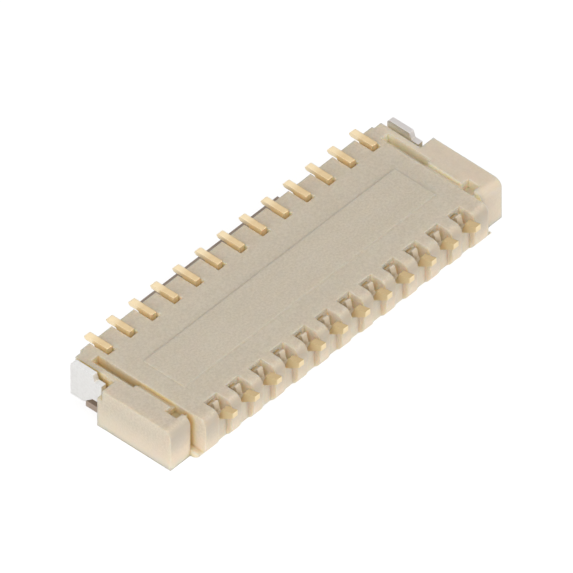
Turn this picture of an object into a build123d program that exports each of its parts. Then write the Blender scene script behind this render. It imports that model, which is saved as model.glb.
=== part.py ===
from build123d import *
import os

# Frame: the connector lies as it does when it is turned over, with the solder side up.
# X runs along the contact rows, +Y points out of the cable mouth, Z is 0 under its cover.
# Depths below are measured from the mouth towards the back, and drops down from the solder face.

# Contact rows
row_pitch = 0.60
front_count = 13
rear_count = front_count - 1
blade = 0.13
blade_fit = 0.01
foot_rise = 0.05

# Housing
body_depth = 2.97
lever_room = 0.37
row_margin = 0.24
cable_margin = 0.24
base_wall = 0.30
cable_gap = 0.28
cover_wall = 0.15
cover_start = 1.25
back_wall = 0.62
back_round = 0.17
heel_round = 0.28
face_drop = 0.02

# Ends of the housing
groove_width = 0.12
groove_wide = 0.20
groove_drop = 0.10
hole_drop = 0.22
back_groove_floor = 0.15
groove_from = 0.33
groove_wide_to = 1.37
block_width = 0.54
block_start = 0.90
block_setback = 0.27
block_step = 0.12
block_step_drop = 0.26
rib_width = 0.19
rib_start = 0.05
pit_setback = 0.34
pit_size = 0.28

# Openings for the contacts
mouth_width = 0.22
mouth_depth = 0.46
pocket_width = 0.35
pocket_depth = 0.39
pocket_drop = 0.40
gutter_depth = 0.14
channel_drop = 0.16
panel_from = 1.05
panel_to = 2.07
panel_side = 0.19

# Contacts
beam = 0.11
beam_taper = 0.035
upper_beam = 0.15
cover_gap = 0.03
web = 0.12
bump = 0.08
bump_width = 0.10
bump_slope = 0.10
front_bump = 1.10
rear_bump = 1.70
lower_tip = 1.30
front_foot = 0.18
front_heel = 0.39
heel_in = 0.26
foot_height = 0.10
toe_round = 0.04
sole_start = 0.06
rear_foot = 0.24
rear_rise = 0.02
rear_toe = 0.13
rear_heel = 0.03
rear_heel_drop = 0.05
rear_sole_drop = 0.29
dip_depth = 0.10
dip_drop = 0.24
dip_length = 0.09
bead_drop = 0.05
bead_setback = 0.24
bead_length = 0.04
bead_foot = 0.03
root_drop = 0.14
back_skin = 0.08
tip_room = 0.10
hook_gap = 0.03
hook_wall = 0.08
neck_length = 0.05
hook_in = 0.095
hook_out = 0.14

# Lever
axis_depth = 1.00
axis_gap = 0.02
shaft_radius = 0.07
shaft_fit = 0.02
tooth_radius = 0.10
tooth = 0.14
comb_depth = 0.25
lever_bottom_gap = 0.05
lever_side_gap = 0.06
lever_reach = 0.08
lip_reach = 0.46
lip_width = 3.80
lever_tip = 0.12
slope_start = 0.35
journal = 0.10
wing_width = 0.40
wing_from = 0.44
wing_to = 0.80
wing_height = 0.14
wing_sweep = 0.15

# Hold-downs
plate = 0.12
plate_gap = 0.02
plate_room = 0.09
plate_corner = 0.05
shoulder_drop = 0.10
plate_start = 0.12
plate_foot_end = 0.66
plate_drop = 0.74
plate_heel = 0.44
plate_heel_slope = 0.22
tongue_drop = 0.30
tongue_height = 0.25
tongue_length = 0.85
plate_fit = 0.01

# Worked-out places
row_half = row_pitch * (front_count - 1) / 2
plate_x = row_half + row_margin
cable_x = row_half + cable_margin
block_x = plate_x + groove_width
end_x = block_x + block_width
panel_x = row_half - panel_side
rib_x = block_x + rib_width
mouth_y = body_depth / 2
cavity_depth = body_depth - back_wall
block_end = body_depth - block_setback
rail_drop = base_wall + cable_gap
body_height = rail_drop + lever_room
axis_drop = rail_drop + axis_gap + tooth_radius
cover_drop = body_height - cover_wall
slot = blade + 2 * blade_fit
lower_top = channel_drop + blade_fit
lower_bottom = lower_top + beam
upper_bottom = cover_drop - cover_gap
upper_top = upper_bottom - upper_beam
web_back = cavity_depth - 2 * blade_fit
web_front = web_back - web
neck = cover_start + neck_length
hook_top = axis_drop + shaft_radius + hook_gap
lever_bottom = body_height - lever_bottom_gap
lever_top = axis_drop - tooth_radius
lever_x = block_x - lever_side_gap
comb_start = axis_depth - comb_depth
gutter_start = body_depth - gutter_depth
slot_back = gutter_start - back_skin
root_back = slot_back - blade_fit
bead_end = body_depth - bead_setback
bead_start = bead_end - bead_length
pit_start = block_end - pit_setback - pit_size / 2
hold_x = rib_x + plate_room
tongue_bottom = tongue_drop + tongue_height

front_places = [(i - (front_count - 1) / 2) * row_pitch for i in range(front_count)]
rear_places = [(i - (rear_count - 1) / 2) * row_pitch for i in range(rear_count)]


def at(depth, drop):
    """A point of a side view: a depth behind the mouth and a drop below the solder face."""
    return (mouth_y - depth, body_height - drop)


def side_view(x=0):
    """The plane of a side view at a place along the row, facing +X."""
    return Plane.YZ.offset(x)


def block_between(depths, drops, x_from, x_to, mode=Mode.ADD):
    """A box given by two depths, two drops and its range along the row."""
    corner = (min(x_from, x_to), *at(depths[1], drops[1]))
    with Locations(corner):
        Box(abs(x_to - x_from), depths[1] - depths[0], drops[1] - drops[0], align=Align.MIN, mode=mode)


def row_of_cuts(depths, drops, width, places):
    """The same box cut out around each of several places along the row."""
    corners = [(x, *at(depths[1], drops[1])) for x in places]
    align = (Align.CENTER, Align.MIN, Align.MIN)
    with Locations(*corners):
        Box(width, depths[1] - depths[0], drops[1] - drops[0], align=align, mode=Mode.SUBTRACT)


def finish(piece, name):
    """Labels a piece and writes it as its own file."""
    piece.part.label = name
    export_step(piece.part, f"parts/{name}.step")


os.makedirs("parts", exist_ok=True)


# Housing: base with the cable cavity behind it, back wall and cover in one section.
with BuildPart() as housing:
    with BuildSketch(side_view()):
        with BuildLine():
            Polyline(
                at(0, face_drop),
                at(body_depth, face_drop),
                at(body_depth, body_height),
                at(cover_start, body_height),
                at(cover_start, rail_drop),
                at(cavity_depth, rail_drop),
                at(cavity_depth, base_wall),
                at(0, base_wall),
                close=True,
            )
        make_face()
    extrude(amount=block_x, both=True)

    # The lower back edge is rounded right round to the cover.
    heel_edge = housing.edges().filter_by(Axis.X).filter_by(
        lambda edge: edge.center().Z < heel_round and edge.center().Y < mouth_y - cavity_depth
    )
    fillet(heel_edge, heel_round)

    for side in (-1, 1):
        # The rail beside the cable, and the rib that runs outside the groove.
        block_between((rib_start, cavity_depth), (face_drop, rail_drop), side * cable_x, side * block_x)
        block_between((rib_start, block_start), (face_drop, rail_drop), side * block_x, side * rib_x)
        # The end block, which carries the lever and holds the hold-down.
        block_between((block_start, block_end), (face_drop, body_height), side * block_x, side * end_x)

    # The back edge of the solder face is well rounded, over the fingers and the end blocks.
    back_edges = housing.edges().filter_by(Axis.X).filter_by(
        lambda edge: edge.center().Z > body_height - back_round and edge.center().Y < mouth_y - cavity_depth
    )
    fillet(back_edges, back_round)

    for side in (-1, 1):
        # Grooves between the base and the end blocks, wide and deep beside the mouth, narrow behind it.
        block_between(
            (groove_from, body_depth),
            (0, groove_drop),
            side * plate_x,
            side * block_x,
            Mode.SUBTRACT,
        )
        block_between(
            (block_end - back_round, body_depth),
            (0, body_height - back_groove_floor),
            side * plate_x,
            side * block_x,
            Mode.SUBTRACT,
        )
        block_between(
            (groove_from, groove_wide_to),
            (0, hole_drop),
            side * plate_x,
            side * (plate_x + groove_wide),
            Mode.SUBTRACT,
        )
        block_between(
            (pit_start, pit_start + pit_size),
            (0, hole_drop),
            side * plate_x,
            side * (plate_x + pit_size),
            Mode.SUBTRACT,
        )
        # The end block steps down beside the hold-down.
        block_between(
            (block_start, block_start + block_step),
            (0, block_step_drop),
            side * rib_x,
            side * end_x,
            Mode.SUBTRACT,
        )
        # The slot that takes the tongue of the hold-down.
        block_between(
            (block_start, block_start + tongue_length + plate_fit),
            (tongue_drop - plate_fit, tongue_bottom + plate_fit),
            side * (hold_x - plate_fit),
            side * (hold_x + plate + plate_fit),
            Mode.SUBTRACT,
        )
        # Room under the end block for the sweep of the lever's wing.
        block_between(
            (block_start, cover_start),
            (axis_drop + wing_sweep, body_height),
            side * block_x,
            side * (lever_x + wing_width + lever_side_gap),
            Mode.SUBTRACT,
        )
        # The bearing of the lever's journal.
        with BuildSketch(side_view(side * block_x)):
            with Locations(at(axis_depth, axis_drop)):
                Circle(shaft_radius + shaft_fit)
        extrude(amount=side * (journal + lever_side_gap), mode=Mode.SUBTRACT)

    # The low panel in the middle of the solder face, level with the end blocks.
    block_between((panel_from, panel_to), (0, base_wall), -panel_x, panel_x)

    # Mouth notches for the front contacts' feet, and pockets between the fingers at the back.
    row_of_cuts((0, mouth_depth), (0, base_wall), mouth_width, front_places)
    row_of_cuts((body_depth - pocket_depth, body_depth), (0, pocket_drop), pocket_width, rear_places)
    row_of_cuts((gutter_start, body_depth), (pocket_drop, body_height), pocket_width, rear_places)

    # Channels for the beams, and the slots in the back wall, round which the rear contacts are moulded in.
    row_of_cuts((0, cavity_depth), (channel_drop, base_wall), slot, front_places)
    row_of_cuts((lower_tip - tip_room, cavity_depth), (channel_drop, base_wall), slot, rear_places)
    row_of_cuts((cover_start, cavity_depth), (rail_drop, cover_drop), slot, front_places + rear_places)
    row_of_cuts((cavity_depth, slot_back), (root_drop - blade_fit, cover_drop), slot, rear_places)
finish(housing, "housing")


def bump_points(place):
    """The contact point of a lower beam, which stands towards the cable."""
    half = bump_width / 2
    return [
        at(place + half + bump_slope, lower_bottom),
        at(place + half, lower_bottom + bump),
        at(place - half, lower_bottom + bump),
        at(place - half - bump_slope, lower_bottom),
    ]


def hook_points():
    """The end of an upper beam, from its inner side round the lever's shaft to its outer side."""
    return [
        at(neck, upper_top),
        at(axis_depth + hook_out, axis_drop),
        at(axis_depth + hook_in, hook_top),
        at(axis_depth - shaft_radius, hook_top),
        at(axis_depth - hook_in, axis_drop + shaft_fit),
        at(axis_depth - hook_out, axis_drop + shaft_fit),
        at(axis_depth - hook_out, hook_top + hook_wall / 2),
        at(axis_depth - hook_in, hook_top + hook_wall),
        at(axis_depth + hook_out, hook_top + hook_wall),
        at(neck, upper_bottom),
    ]


# Front contacts: a foot in the mouth, a lower beam under the cable and a hook at the lever.
front_outline = [
    at(toe_round - front_foot, -foot_rise),
    at(front_heel, -foot_rise),
    at(front_heel, lower_top),
    at(web_back, lower_top),
    at(web_back, upper_bottom),
    *reversed(hook_points()),
    at(web_front, upper_top),
    at(web_front, lower_bottom),
    *bump_points(front_bump),
    at(heel_in, lower_bottom),
    at(sole_start, foot_height - foot_rise),
    at(toe_round - front_foot, foot_height - foot_rise),
    at(-front_foot, foot_height - foot_rise - toe_round),
    at(-front_foot, toe_round - foot_rise),
]

# Rear contacts: moulded into the back wall, with a foot that rises behind the fingers.
rear_outline = [
    at(body_depth + rear_foot, -rear_rise),
    at(body_depth - rear_heel, rear_heel_drop),
    at(body_depth - dip_depth, dip_drop),
    at(body_depth - dip_depth - dip_length, dip_drop),
    at(bead_end, bead_drop),
    at(bead_start, bead_drop),
    at(bead_start - bead_foot, root_drop),
    at(cavity_depth + blade_fit, root_drop),
    at(cavity_depth + blade_fit, lower_top),
    at(lower_tip, lower_top),
    at(lower_tip, lower_bottom - beam_taper),
    *reversed(bump_points(rear_bump)),
    at(web_front, lower_bottom),
    at(web_front, upper_top),
    *hook_points(),
    at(root_back, upper_bottom),
    at(root_back, pocket_drop - blade_fit),
    at(body_depth - rear_heel, rear_sole_drop),
    at(body_depth + rear_foot, rear_toe - rear_rise),
]

for row, outline, places in (
    ("front", front_outline, front_places),
    ("rear", rear_outline, rear_places),
):
    for number, x in enumerate(places, start=1):
        with BuildPart() as contact:
            with BuildSketch(side_view(x)):
                with BuildLine():
                    Polyline(*outline, close=True)
                make_face()
            extrude(amount=blade / 2, both=True)
        finish(contact, f"{row}_contact_{number:02d}")


# Lever: a plate over the mouth, with a comb that lets the hooks reach its shaft.
with BuildPart() as lever:
    with BuildSketch(side_view()):
        with BuildLine():
            Polyline(
                at(comb_start, lever_top),
                at(comb_start, lever_bottom),
                at(slope_start, lever_bottom),
                at(-lever_reach, lever_top + lever_tip),
                at(-lever_reach, lever_top),
                close=True,
            )
        make_face()
    extrude(amount=lever_x, both=True)

    # The lip in the middle, which a fingernail lifts.
    block_between((-lip_reach, 0), (lever_top, lever_top + lever_tip), -lip_width / 2, lip_width / 2)

    # The teeth of the comb, one between each two contacts. The first and last reach out as arms.
    tooth_places = [(i - front_count + 0.5) * row_pitch / 2 for i in range(front_count + rear_count + 1)]
    tooth_starts = [-lever_x] + [x - tooth / 2 for x in tooth_places[1:]]
    tooth_ends = [x + tooth / 2 for x in tooth_places[:-1]] + [lever_x]
    for x_from, x_to in zip(tooth_starts, tooth_ends):
        with BuildSketch(side_view(x_from)):
            with Locations(at(axis_depth, axis_drop)):
                Circle(tooth_radius)
            with Locations(at(axis_depth - comb_depth / 2, axis_drop)):
                Rectangle(comb_depth, 2 * tooth_radius)
        extrude(amount=x_to - x_from)

    # Wings at both ends of the plate, under the hold-downs.
    for side in (-1, 1):
        block_between(
            (wing_from, wing_to),
            (lever_bottom - wing_height, lever_bottom),
            side * (lever_x - wing_width),
            side * (lever_x + wing_width),
        )

    # The shaft runs through the comb, and its ends are the journals.
    with BuildSketch(side_view()):
        with Locations(at(axis_depth, axis_drop)):
            Circle(shaft_radius)
    extrude(amount=block_x + journal, both=True)
finish(lever, "lever")


# Hold-downs: a flat plate beside the mouth, whose tongue is pressed into the end block.
for name, side in (("hold_down_left", -1), ("hold_down_right", 1)):
    with BuildPart() as hold_down:
        with BuildSketch(side_view(side * hold_x)):
            with BuildLine():
                Polyline(
                    at(plate_start, plate_corner - foot_rise),
                    at(plate_start + plate_corner, -foot_rise),
                    at(plate_foot_end, -foot_rise),
                    at(plate_foot_end + foot_rise, shoulder_drop),
                    at(block_start - plate_gap, shoulder_drop),
                    at(block_start - plate_gap, tongue_drop),
                    at(block_start + tongue_length, tongue_drop),
                    at(block_start + tongue_length, tongue_bottom),
                    at(plate_heel + plate_heel_slope, tongue_bottom),
                    at(plate_heel, plate_drop),
                    at(plate_start, plate_drop),
                    close=True,
                )
            make_face()
        extrude(amount=side * plate)
    finish(hold_down, name)
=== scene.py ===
import bpy
import numpy as np
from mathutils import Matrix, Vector

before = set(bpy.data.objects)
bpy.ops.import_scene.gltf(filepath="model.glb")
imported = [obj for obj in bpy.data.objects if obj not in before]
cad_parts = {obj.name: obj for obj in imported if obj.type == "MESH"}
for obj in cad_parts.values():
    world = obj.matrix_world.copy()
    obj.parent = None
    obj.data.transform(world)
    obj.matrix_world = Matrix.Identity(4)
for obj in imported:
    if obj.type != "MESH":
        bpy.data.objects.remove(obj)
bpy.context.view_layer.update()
bpy.context.scene.view_settings.view_transform = "Standard"

# The photographer's eye. The connector fills the picture from corner to corner, and its rows stay
# parallel across the whole frame, as through a long lens far away, so the view has no perspective.
towards_eye = Vector((-0.5353, -0.4840, 0.6927))
aim = Vector((0.152e-3, 0.141e-3, 0.475e-3))
eye_distance = 0.06
picture_width = 0.010441

lens = bpy.data.cameras.new("long_lens")
lens.type = "ORTHO"
lens.ortho_scale = picture_width
lens.clip_start = 0.001
lens.clip_end = 1.0
eye = bpy.data.objects.new("eye", lens)
eye.location = aim + towards_eye * eye_distance
eye.rotation_mode = "QUATERNION"
eye.rotation_quaternion = (-towards_eye).to_track_quat("-Z", "Y")
bpy.context.scene.collection.objects.link(eye)
bpy.context.scene.camera = eye

# The housing is one moulding in heat-resistant beige nylon, filled with short glass fibre. Its matt skin
# is mottled, and cloudy along the flow of the melt. The low edges are painted cream, a painted glow for
# the light that sinks into the thin walls, and the right end is paler too. The recesses get painted ochre
# shade and bounce light, lighter in the grooves on the right, and the upper back walls get painted shade.
pale_beige = (0.718, 0.640, 0.522, 1.0)
deep_beige = (0.605, 0.530, 0.418, 1.0)
fibre_pale = (0.710, 0.655, 0.565, 1.0)
# The cream tone is a painted glow on the low edges, and it also makes the right end paler.
glow_and_end_cream = (0.825, 0.700, 0.560, 1.0)
# Painted shade on the upper back walls.
back_painted_shade = (0.520, 0.462, 0.380, 1.0)
# Painted ochre shade and bounce light in the recesses, and painted light in the grooves on the right.
pocket_painted_bounce = (0.915, 0.810, 0.625, 1.0)
groove_painted_shade = (0.830, 0.665, 0.380, 1.0)
groove_painted_light = (0.960, 0.870, 0.680, 1.0)
melt_stretch = (0.35, 1.0, 1.0)
fibre_stretch = (0.16, 1.0, 1.0)
cloud_span = (0.35, 0.65)
mottle_span = (0.34, 0.66)
fibre_span = (0.60, 0.78)
grain_span = (0.3, 0.7)
mottle_share = 0.80
fibre_share = 0.2
# Each tone begins at the first of its two values and is full at the second: metres on the part,
# the direction that the surface faces, or how open the place is.
painted_glow_height = (0.60e-3, 0.0)
painted_glow_share = 0.95
right_end = (3.94e-3, 4.06e-3)
right_end_cream = 0.5
back_turn = (-0.45, -0.85)
back_height = (0.30e-3, 0.75e-3)
back_fade = (3.84e-3, 4.06e-3)
back_left_over = 0.2
shelter_reach = 2.2e-4
pocket_shelter = (0.64, 0.24)
groove_shelter = (0.82, 0.36)
groove_place = (3.72e-3, 3.82e-3)
off_the_table = (0.10e-3, 0.30e-3)
left_to_right = (-1.0e-3, 1.0e-3)
nylon_roughness = (0.62, 0.78)
nylon_edge = 4.6e-5
light_depth = 2.8e-4


def new_finish(name):
    """A new material, with its node tree and the surface shader that stands in it."""
    material = bpy.data.materials.new(name)
    material.use_nodes = True
    tree = material.node_tree
    return material, tree, tree.nodes["Principled BSDF"]


def add_node(tree, kind, settings=None, **sockets):
    """Adds a node with its options. Each socket, named or counted as _0, _1, gets a value or an output."""
    node = tree.nodes.new(kind)
    for option, value in (settings or {}).items():
        setattr(node, option, value)
    for socket_name, value in sockets.items():
        key = int(socket_name[1:]) if socket_name[0] == "_" else socket_name
        socket = node.inputs[key]
        if isinstance(value, bpy.types.NodeSocket):
            tree.links.new(value, socket)
        else:
            socket.default_value = value
    return node


def own_place(tree):
    """The place of a point on the part, in metres."""
    return add_node(tree, "ShaderNodeTexCoord").outputs["Object"]


def axes_of(tree, vector):
    """The three parts of a place or direction, as X, Y and Z."""
    return add_node(tree, "ShaderNodeSeparateXYZ", Vector=vector).outputs


def facing_of(tree):
    """The three parts of the direction that the surface faces."""
    return axes_of(tree, add_node(tree, "ShaderNodeNewGeometry").outputs["Normal"])


def drawn_out(tree, place, stretch):
    """The place with each axis multiplied by its stretch: a pattern runs long where that is below one."""
    return add_node(tree, "ShaderNodeMapping", Vector=place, Scale=stretch).outputs["Vector"]


def speckle(tree, place, per_metre, detail, roughness):
    """Fractal noise about one half, with a number of cells to the metre."""
    noise = add_node(
        tree, "ShaderNodeTexNoise", Vector=place, Scale=per_metre, Detail=detail, Roughness=roughness
    )
    return noise.outputs["Fac"]


def shelter(tree, reach, samples):
    """How open a point is within a reach: one on a free face, and nearer to nought deep in a corner."""
    return add_node(tree, "ShaderNodeAmbientOcclusion", {"samples": samples}, Distance=reach).outputs["AO"]


def band(tree, value, span, ends=(0.0, 1.0)):
    """A straight run from the first end to the second as the value crosses the span, level outside it."""
    run = add_node(tree, "ShaderNodeMapRange", _0=value, _1=span[0], _2=span[1], _3=ends[0], _4=ends[1])
    return run.outputs["Result"]


def worked(tree, operation, first, second):
    """The sum, product or greater of two values at each point."""
    return add_node(tree, "ShaderNodeMath", {"operation": operation}, _0=first, _1=second).outputs[0]


def size_of(tree, value):
    """A value without its sign."""
    return add_node(tree, "ShaderNodeMath", {"operation": "ABSOLUTE"}, _0=value).outputs[0]


def tone_mix(tree, share, first, second):
    """The first colour with a share of the second."""
    return add_node(tree, "ShaderNodeMix", {"data_type": "RGBA"}, _0=share, _6=first, _7=second).outputs[2]


def rounded_skin(tree, radius, height, depth, strength):
    """The shading normal of an edge rounded to a radius, with a height pattern pressed into it."""
    soft = add_node(tree, "ShaderNodeBevel", {"samples": 6}, Radius=radius).outputs["Normal"]
    pressed = add_node(
        tree, "ShaderNodeBump", Height=height, Distance=depth, Strength=strength, Normal=soft
    )
    return pressed.outputs["Normal"]


def dress(node_names, material):
    """Gives each named piece the one material."""
    for node_name in node_names:
        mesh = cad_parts[node_name].data
        mesh.materials.clear()
        mesh.materials.append(material)


nylon, tree, shader = new_finish("housing_nylon")
place = own_place(tree)
spot = axes_of(tree, place)
facing = facing_of(tree)

flow = drawn_out(tree, place, melt_stretch)
cloud = speckle(tree, flow, per_metre=2600.0, detail=3.0, roughness=0.55)
mottle = speckle(tree, place, per_metre=22000.0, detail=2.0, roughness=0.7)
strands = drawn_out(tree, place, fibre_stretch)
fibre = speckle(tree, strands, per_metre=30000.0, detail=1.0, roughness=0.5)
grain = speckle(tree, place, per_metre=42000.0, detail=2.0, roughness=0.6)
patchy = add_node(
    tree,
    "ShaderNodeMix",
    {"data_type": "FLOAT"},
    _0=mottle_share,
    _2=band(tree, cloud, cloud_span),
    _3=band(tree, mottle, mottle_span),
)
body_tone = tone_mix(tree, patchy.outputs[0], deep_beige, pale_beige)
fibre_tone = tone_mix(tree, band(tree, fibre, fibre_span, (0.0, fibre_share)), body_tone, fibre_pale)

# Painted glow: the low edges cream. The right end is paler as well.
painted_glow_low = band(tree, spot["Z"], painted_glow_height, (0.0, painted_glow_share))
at_right_end = band(tree, spot["X"], right_end, (0.0, right_end_cream))
glow_and_pale_end_tone = tone_mix(tree, worked(tree, "MAXIMUM", painted_glow_low, at_right_end), fibre_tone, glow_and_end_cream)

# Painted shade: the upper walls that face back are darker, less so towards the right end.
turned_back = band(tree, facing["Y"], back_turn)
high_up = band(tree, spot["Z"], back_height)
back_wall = worked(tree, "MULTIPLY", turned_back, high_up)
painted_back_shade_share = worked(tree, "MULTIPLY", back_wall, band(tree, spot["X"], back_fade, (1.0, back_left_over)))
back_shaded_tone = tone_mix(tree, painted_back_shade_share, glow_and_pale_end_tone, back_painted_shade)

# Painted shade and bounce light: sheltered pockets and grooves are tinted ochre, and the grooves get paler
# towards the right.
open_air = shelter(tree, shelter_reach, samples=16)
beside_block = band(tree, size_of(tree, spot["X"]), groove_place)
in_groove = worked(tree, "MULTIPLY", band(tree, open_air, groove_shelter), beside_block)
painted_groove_share = worked(tree, "MULTIPLY", in_groove, band(tree, spot["Z"], off_the_table))
painted_recess_share = worked(tree, "MAXIMUM", painted_groove_share, band(tree, open_air, pocket_shelter))
painted_groove_tone = tone_mix(tree, band(tree, spot["X"], left_to_right), groove_painted_shade, groove_painted_light)
painted_recess_tone = tone_mix(tree, beside_block, pocket_painted_bounce, painted_groove_tone)
housing_tone = tone_mix(tree, painted_recess_share, back_shaded_tone, painted_recess_tone)

tree.links.new(housing_tone, shader.inputs["Base Color"])
tree.links.new(band(tree, grain, grain_span, nylon_roughness), shader.inputs["Roughness"])
skin = rounded_skin(tree, nylon_edge, grain, depth=2.0e-6, strength=0.35)
tree.links.new(skin, shader.inputs["Normal"])
shader.inputs["Subsurface Weight"].default_value = 0.75
shader.inputs["Subsurface Radius"].default_value = (1.0, 0.70, 0.45)
shader.inputs["Subsurface Scale"].default_value = light_depth
shader.inputs["IOR"].default_value = 1.5
shader.inputs["Specular IOR Level"].default_value = 0.3
dress(["housing"], nylon)

# The contacts are stamped from thin copper alloy strip and gold plated all over. The sheared edges keep
# fine lines. The sides carry painted light, the rear feet painted shade and the tips a pale painted
# highlight. The bead in the dip of each rear contact is painted matt beige as painted shade, and the
# recesses carry warm painted light with less metal.
gold_light = (0.710, 0.545, 0.320, 1.0)
gold_deep = (0.670, 0.500, 0.280, 1.0)
# Painted shade on the rear feet.
rear_painted_shade = (0.630, 0.455, 0.225, 1.0)
# Painted light on the sides, less at the rear.
side_painted_light_front = (0.950, 0.790, 0.550, 1.0)
side_painted_light_rear = (0.750, 0.610, 0.360, 1.0)
# A pale painted highlight on the tips.
tip_painted_highlight = (0.860, 0.710, 0.470, 1.0)
# Warm painted light in the recesses.
recess_painted_light = (0.900, 0.710, 0.400, 1.0)
# Matt beige painted shade over the bead in the dip.
bead_painted_shade = (0.700, 0.600, 0.460, 1.0)
shear_stretch = (1.0, 0.12, 0.12)
patch_span = (0.36, 0.62)
shear_span = (0.3, 0.7)
rear_feet = (-1.36e-3, -1.40e-3)
rear_shade_share = 0.9
rear_dullness = 0.5
side_turn = (0.65, 0.35)
tip_place = (1.34e-3, 1.52e-3)
tip_highlight_share = 0.85
contact_reach = 1.6e-4
contact_shelter = (0.62, 0.22)
bead_middle = -1.255e-3
bead_shade_edge = (0.150e-3, 0.125e-3)
bright_to_dull = (0.85, 0.1)
gold_roughness = (0.28, 0.38)
contact_edge = 2.2e-5

gold, tree, shader = new_finish("contact_gold")
place = own_place(tree)
spot = axes_of(tree, place)
facing = facing_of(tree)

patch = speckle(tree, place, per_metre=9000.0, detail=3.0, roughness=0.6)
shear_lines = drawn_out(tree, place, shear_stretch)
shear = speckle(tree, shear_lines, per_metre=90000.0, detail=2.0, roughness=0.6)
plate_tone = tone_mix(tree, band(tree, patch, patch_span), gold_deep, gold_light)

# Painted shade: the tops of the rear feet are darker.
at_rear = band(tree, spot["Y"], rear_feet, (0.0, rear_shade_share))
top_tone_with_rear_shade = tone_mix(tree, at_rear, plate_tone, rear_painted_shade)
# Painted light: the sides are brighter than the tops, less so at the rear.
painted_side_light_tone = tone_mix(tree, at_rear, side_painted_light_front, side_painted_light_rear)
lit_and_shaded_tone = tone_mix(tree, band(tree, facing["Z"], side_turn), top_tone_with_rear_shade, painted_side_light_tone)
# Painted highlight: the tips are paler.
highlighted_tip_tone = tone_mix(tree, band(tree, spot["Y"], tip_place, (0.0, tip_highlight_share)), lit_and_shaded_tone, tip_painted_highlight)

# Painted light: the gold in the recesses is warm and less metal.
in_recess = band(tree, shelter(tree, contact_reach, samples=16), contact_shelter)
painted_recess_tone = tone_mix(tree, in_recess, highlighted_tip_tone, recess_painted_light)
# Painted shade: the bead in the dip is matt beige and less metal.
from_bead = size_of(tree, worked(tree, "ADD", spot["Y"], -bead_middle))
on_bead = band(tree, from_bead, bead_shade_edge)
contact_tone = tone_mix(tree, on_bead, painted_recess_tone, bead_painted_shade)

recess_or_bead = worked(tree, "MAXIMUM", in_recess, on_bead)
dull_share = worked(tree, "MAXIMUM", recess_or_bead, worked(tree, "MULTIPLY", at_rear, rear_dullness))

tree.links.new(contact_tone, shader.inputs["Base Color"])
tree.links.new(band(tree, dull_share, (0.0, 1.0), bright_to_dull), shader.inputs["Metallic"])
tree.links.new(band(tree, shear, shear_span, gold_roughness), shader.inputs["Roughness"])
skin = rounded_skin(tree, contact_edge, shear, depth=0.6e-6, strength=0.15)
tree.links.new(skin, shader.inputs["Normal"])
dress([node_name for node_name in sorted(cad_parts) if "contact" in node_name], gold)

# The hold-downs are small stamped plates, matt tin over copper, pushed into the ends of the housing and
# soldered down beside the contacts' feet. Sheltered places carry a painted reflection of the beige
# housing, beige and less metal, and the right plate carries painted shade.
tin_light = (0.690, 0.685, 0.675, 1.0)
tin_dull = (0.635, 0.628, 0.615, 1.0)
# A painted reflection of the beige housing in sheltered places.
sheltered_painted_reflection = (0.880, 0.820, 0.700, 1.0)
# Painted shade on the right plate.
right_plate_painted_shade = (0.460, 0.415, 0.395, 1.0)
crystal_span = (0.35, 0.6)
dimple_span = (0.3, 0.7)
right_plate = (3.9e-3, 4.1e-3)
right_shade_share = 0.55
plate_reach = 2.0e-4
plate_shelter = (0.80, 0.35)
bare_to_painted_reflection = (1.0, 0.2)
tin_roughness = (0.34, 0.52)
plate_edge = 1.8e-5

tin, tree, shader = new_finish("hold_down_tin")
place = own_place(tree)
spot = axes_of(tree, place)

crystal = speckle(tree, place, per_metre=16000.0, detail=4.0, roughness=0.65)
fresh_tone = tone_mix(tree, band(tree, crystal, crystal_span), tin_dull, tin_light)
# Painted shade: the right plate is darker.
right_shaded_tone = tone_mix(tree, band(tree, spot["X"], right_plate, (0.0, right_shade_share)), fresh_tone, right_plate_painted_shade)
# Painted reflection: sheltered places are beige and less metal.
sheltered = band(tree, shelter(tree, plate_reach, samples=8), plate_shelter)
tin_tone = tone_mix(tree, sheltered, right_shaded_tone, sheltered_painted_reflection)

tree.links.new(tin_tone, shader.inputs["Base Color"])
tree.links.new(band(tree, sheltered, (0.0, 1.0), bare_to_painted_reflection), shader.inputs["Metallic"])
tree.links.new(band(tree, crystal, dimple_span, tin_roughness), shader.inputs["Roughness"])
skin = rounded_skin(tree, plate_edge, crystal, depth=2.0e-6, strength=0.3)
tree.links.new(skin, shader.inputs["Normal"])
dress(["hold_down_left", "hold_down_right"], tin)

# The lever is a brown moulding that flips out from under the cover to let the cable in. It is the same
# filled nylon as the housing, coloured through, and it turns on its own shaft in the hooks of the contacts.
brown_light = (0.420, 0.330, 0.260, 1.0)
brown_deep = (0.340, 0.260, 0.205, 1.0)
brown_span = (0.35, 0.65)
dull_span = (0.3, 0.7)
lever_roughness = (0.42, 0.58)
lever_edge = 2.0e-5

lever_finish, tree, shader = new_finish("lever_nylon")
place = own_place(tree)

cloud = speckle(tree, place, per_metre=3400.0, detail=3.0, roughness=0.55)
grain = speckle(tree, place, per_metre=42000.0, detail=2.0, roughness=0.6)
lever_tone = tone_mix(tree, band(tree, cloud, brown_span), brown_deep, brown_light)

tree.links.new(lever_tone, shader.inputs["Base Color"])
tree.links.new(band(tree, grain, dull_span, lever_roughness), shader.inputs["Roughness"])
skin = rounded_skin(tree, lever_edge, grain, depth=2.0e-6, strength=0.35)
tree.links.new(skin, shader.inputs["Normal"])
dress(["lever"], lever_finish)

# The floor is a white sheet under the connector. The eye sees it as plain white, with the connector's
# shadow on it. It lets two thirds of the tent's white through, so the opened lever shows below it, pale.
sheet_half = 0.5
sheet_height = -2.0e-6
sheet_white = (0.86, 0.86, 0.86, 1.0)
sheet_glow = 0.5
sheet_seen = 0.35

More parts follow.
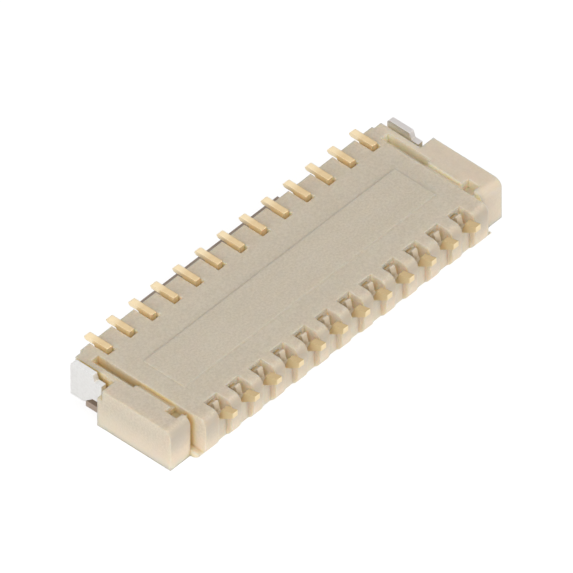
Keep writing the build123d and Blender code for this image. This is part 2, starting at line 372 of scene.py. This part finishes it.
floor_mesh = bpy.data.meshes.new("floor")
along, across = np.meshgrid([-sheet_half, sheet_half], [-sheet_half, sheet_half])
corners = np.stack([along.ravel(), across.ravel(), np.full(4, sheet_height)], axis=1)
floor_mesh.from_pydata(corners, [], [(0, 1, 3, 2)])
floor = bpy.data.objects.new("floor", floor_mesh)
bpy.context.scene.collection.objects.link(floor)

sheet_finish = bpy.data.materials.new("white_sheet")
sheet_finish.use_nodes = True
tree = sheet_finish.node_tree
tree.nodes.remove(tree.nodes["Principled BSDF"])
ray = add_node(tree, "ShaderNodeLightPath").outputs
matt = add_node(tree, "ShaderNodeBsdfDiffuse", Color=sheet_white).outputs[0]
glow = add_node(tree, "ShaderNodeEmission", Color=(1.0, 1.0, 1.0, 1.0), Strength=sheet_glow).outputs[0]
clear = add_node(tree, "ShaderNodeBsdfTransparent").outputs[0]
bright = add_node(tree, "ShaderNodeAddShader", _0=matt, _1=glow).outputs[0]
seen = add_node(tree, "ShaderNodeMixShader", _0=sheet_seen, _1=clear, _2=bright).outputs[0]
mirrored = worked(tree, "MAXIMUM", ray["Is Glossy Ray"], ray["Is Transmission Ray"])
plain = add_node(tree, "ShaderNodeMixShader", _0=mirrored, _1=matt, _2=bright).outputs[0]
shown = add_node(tree, "ShaderNodeMixShader", _0=ray["Is Camera Ray"], _1=plain, _2=seen).outputs[0]
tree.links.new(shown, tree.nodes["Material Output"].inputs["Surface"])
floor_mesh.materials.append(sheet_finish)

# The studio is a white tent. The eye, the metal and the gloss see it as white, and soft panels stand
# low in front and at the left, so the upright faces are a little brighter than the top.
tent_tint = (1.0, 0.99, 0.975, 1.0)
tent_fill = 0.43
panel_side = 0.08

tent = bpy.data.worlds.new("white_tent")
bpy.context.scene.world = tent
tent.use_nodes = True
tree = tent.node_tree
ray = add_node(tree, "ShaderNodeLightPath").outputs
soft_fill = tree.nodes["Background"]
soft_fill.inputs["Color"].default_value = tent_tint
soft_fill.inputs["Strength"].default_value = tent_fill
white_wall = add_node(tree, "ShaderNodeBackground", Color=(1.0, 1.0, 1.0, 1.0), Strength=1.0)
seen_or_mirrored = worked(tree, "MAXIMUM", ray["Is Camera Ray"], ray["Is Glossy Ray"])
sees_white = worked(tree, "MAXIMUM", seen_or_mirrored, ray["Is Transmission Ray"])
walls = add_node(
    tree, "ShaderNodeMixShader", _0=sees_white, _1=soft_fill.outputs[0], _2=white_wall.outputs[0]
)
tree.links.new(walls.outputs[0], tree.nodes["World Output"].inputs["Surface"])


def soft_panel(name, direction, distance, power):
    """A square light panel at a distance along a direction, facing the connector."""
    lamp = bpy.data.lights.new(name, "AREA")
    lamp.shape = "SQUARE"
    lamp.size = panel_side
    lamp.energy = power
    panel = bpy.data.objects.new(name, lamp)
    away = Vector(direction).normalized()
    panel.location = away * distance
    panel.rotation_mode = "QUATERNION"
    panel.rotation_quaternion = away.to_track_quat("Z", "Y")
    bpy.context.scene.collection.objects.link(panel)


soft_panel("front_panel", direction=(0.25, -1.0, 0.42), distance=0.10, power=0.044)
soft_panel("left_panel", direction=(-1.0, -0.25, 0.45), distance=0.10, power=0.053)
soft_panel("top_panel", direction=(0.2, 0.3, 1.0), distance=0.12, power=0.014)
